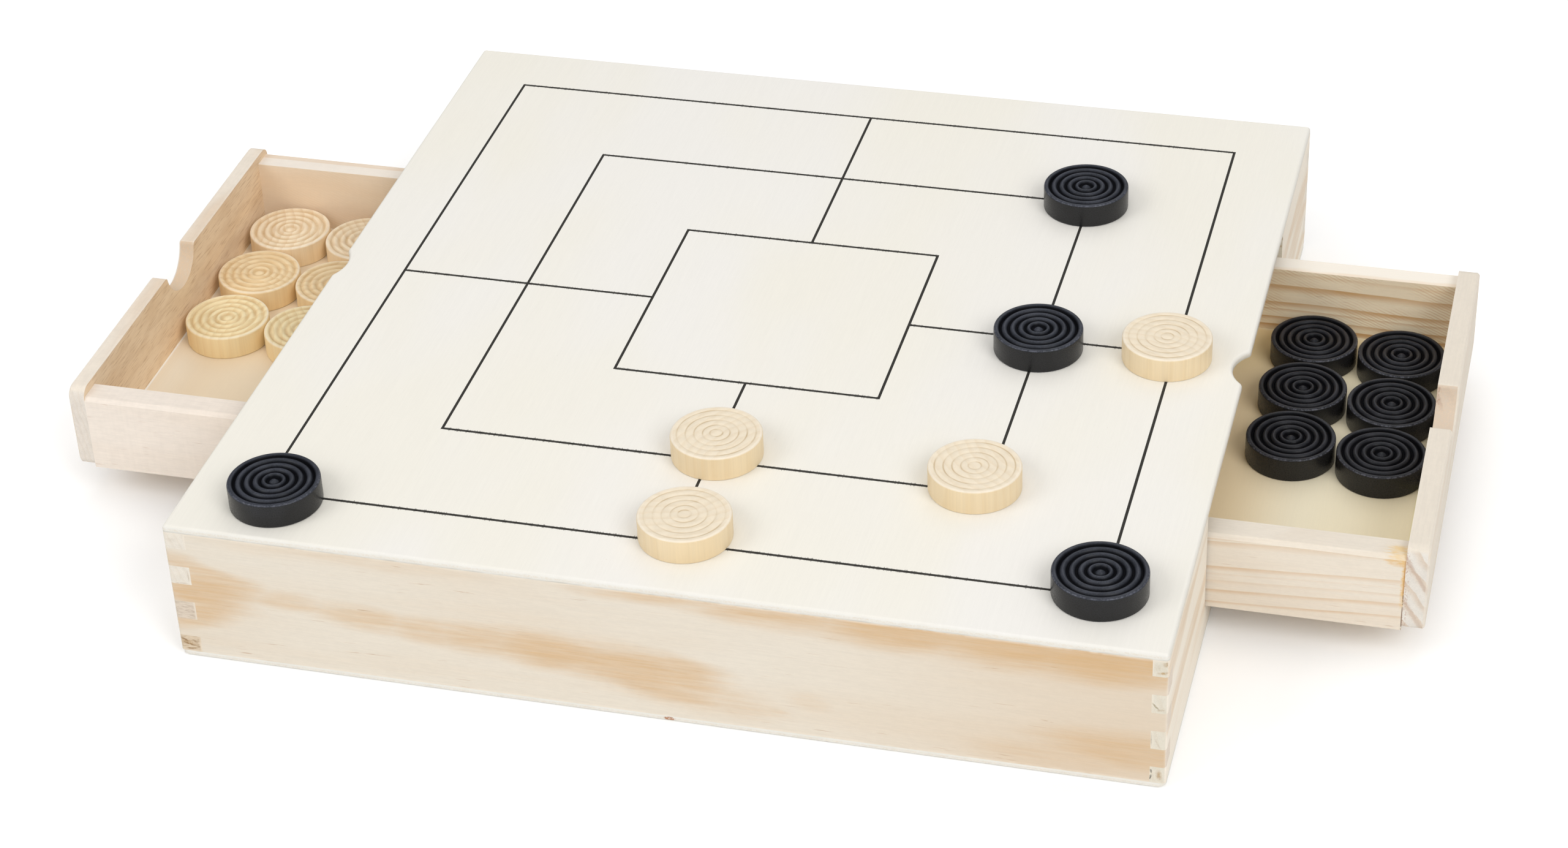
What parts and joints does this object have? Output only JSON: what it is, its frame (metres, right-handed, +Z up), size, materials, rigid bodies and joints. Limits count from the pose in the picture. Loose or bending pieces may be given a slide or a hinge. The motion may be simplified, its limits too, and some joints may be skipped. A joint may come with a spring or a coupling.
{
  "type": "board game box",
  "caption": "Wooden game box with finger-jointed corners, a mill board on its lid panel, a drawer at each side and turned playing pieces.",
  "frame": {"origin": "centre of the underside of the box, on the surface that it stands on", "axes": "+Z up, +X to the right drawer, +Y to the back wall"},
  "size_m": [0.4275, 0.3, 0.056],
  "materials": {
    "plywood": "pale plywood, sanded",
    "print_ink": "thin printed line, matte",
    "pine": "pale pine, oiled lightly",
    "striped_pine": "striped pine, raw",
    "fine_pine": "fine-grained pale wood, raw",
    "black_wood": "black stain, half gloss",
    "light_wood": "pale wood, clear lacquer"
  },
  "bodies": {
    "box": {"top_panel": "plywood", "board_print": "print_ink", "bottom_panel": "plywood", "front_wall": "pine", "back_wall": "pine", "left_wall": "pine", "right_wall": "pine", "divider": "pine", "left_front_runner": "pine", "left_back_runner": "pine", "right_front_runner": "pine", "right_back_runner": "pine"},
    "right_drawer": {"right_drawer_front": "striped_pine", "right_drawer_back": "striped_pine", "right_drawer_front_side": "striped_pine", "right_drawer_back_side": "striped_pine", "right_drawer_bottom": "plywood"},
    "left_drawer": {"left_drawer_front": "fine_pine", "left_drawer_back": "fine_pine", "left_drawer_front_side": "fine_pine", "left_drawer_back_side": "fine_pine", "left_drawer_bottom": "plywood"},
    "dark_piece_1": {"dark_piece_1": "black_wood"},
    "dark_piece_2": {"dark_piece_2": "black_wood"},
    "dark_piece_3": {"dark_piece_3": "black_wood"},
    "dark_piece_4": {"dark_piece_4": "black_wood"},
    "dark_piece_5": {"dark_piece_5": "black_wood"},
    "dark_piece_6": {"dark_piece_6": "black_wood"},
    "dark_piece_7": {"dark_piece_7": "black_wood"},
    "dark_piece_8": {"dark_piece_8": "black_wood"},
    "dark_piece_9": {"dark_piece_9": "black_wood"},
    "dark_piece_10": {"dark_piece_10": "black_wood"},
    "light_piece_1": {"light_piece_1": "light_wood"},
    "light_piece_2": {"light_piece_2": "light_wood"},
    "light_piece_3": {"light_piece_3": "light_wood"},
    "light_piece_4": {"light_piece_4": "light_wood"},
    "light_piece_5": {"light_piece_5": "light_wood"},
    "light_piece_6": {"light_piece_6": "light_wood"},
    "light_piece_7": {"light_piece_7": "light_wood"},
    "light_piece_8": {"light_piece_8": "light_wood"},
    "light_piece_9": {"light_piece_9": "light_wood"},
    "light_piece_10": {"light_piece_10": "light_wood"}
  },
  "joints": [
    {"name": "right_drawer_slide", "type": "slide", "parent": "box", "child": "right_drawer", "axis": [1, 0, 0], "range_m": [-0.0645, 0.045]},
    {"name": "left_drawer_slide", "type": "slide", "parent": "box", "child": "left_drawer", "axis": [-1, 0, 0], "range_m": [-0.063, 0.045]},
    {"name": "dark_piece_1_lift", "type": "slide", "parent": "box", "child": "dark_piece_1", "axis": [0, 0, 1], "range_m": [0, 0.06]},
    {"name": "dark_piece_2_lift", "type": "slide", "parent": "box", "child": "dark_piece_2", "axis": [0, 0, 1], "range_m": [0, 0.06]},
    {"name": "dark_piece_3_lift", "type": "slide", "parent": "box", "child": "dark_piece_3", "axis": [0, 0, 1], "range_m": [0, 0.06]},
    {"name": "dark_piece_4_lift", "type": "slide", "parent": "box", "child": "dark_piece_4", "axis": [0, 0, 1], "range_m": [0, 0.06]},
    {"name": "dark_piece_5_lift", "type": "slide", "parent": "right_drawer", "child": "dark_piece_5", "axis": [0, 0, 1], "range_m": [0, 0.02]},
    {"name": "dark_piece_6_lift", "type": "slide", "parent": "right_drawer", "child": "dark_piece_6", "axis": [0, 0, 1], "range_m": [0, 0.02]},
    {"name": "dark_piece_7_lift", "type": "slide", "parent": "right_drawer", "child": "dark_piece_7", "axis": [0, 0, 1], "range_m": [0, 0.02]},
    {"name": "dark_piece_8_lift", "type": "slide", "parent": "right_drawer", "child": "dark_piece_8", "axis": [0, 0, 1], "range_m": [0, 0.02]},
    {"name": "dark_piece_9_lift", "type": "slide", "parent": "right_drawer", "child": "dark_piece_9", "axis": [0, 0, 1], "range_m": [0, 0.02]},
    {"name": "dark_piece_10_lift", "type": "slide", "parent": "right_drawer", "child": "dark_piece_10", "axis": [0, 0, 1], "range_m": [0, 0.02]},
    {"name": "light_piece_1_lift", "type": "slide", "parent": "box", "child": "light_piece_1", "axis": [0, 0, 1], "range_m": [0, 0.06]},
    {"name": "light_piece_2_lift", "type": "slide", "parent": "box", "child": "light_piece_2", "axis": [0, 0, 1], "range_m": [0, 0.06]},
    {"name": "light_piece_3_lift", "type": "slide", "parent": "box", "child": "light_piece_3", "axis": [0, 0, 1], "range_m": [0, 0.06]},
    {"name": "light_piece_4_lift", "type": "slide", "parent": "box", "child": "light_piece_4", "axis": [0, 0, 1], "range_m": [0, 0.06]},
    {"name": "light_piece_5_lift", "type": "slide", "parent": "left_drawer", "child": "light_piece_5", "axis": [0, 0, 1], "range_m": [0, 0.02]},
    {"name": "light_piece_6_lift", "type": "slide", "parent": "left_drawer", "child": "light_piece_6", "axis": [0, 0, 1], "range_m": [0, 0.02]},
    {"name": "light_piece_7_lift", "type": "slide", "parent": "left_drawer", "child": "light_piece_7", "axis": [0, 0, 1], "range_m": [0, 0.02]},
    {"name": "light_piece_8_lift", "type": "slide", "parent": "left_drawer", "child": "light_piece_8", "axis": [0, 0, 1], "range_m": [0, 0.02]},
    {"name": "light_piece_9_lift", "type": "slide", "parent": "left_drawer", "child": "light_piece_9", "axis": [0, 0, 1], "range_m": [0, 0.02]},
    {"name": "light_piece_10_lift", "type": "slide", "parent": "left_drawer", "child": "light_piece_10", "axis": [0, 0, 1], "range_m": [0, 0.02]}
  ]
}
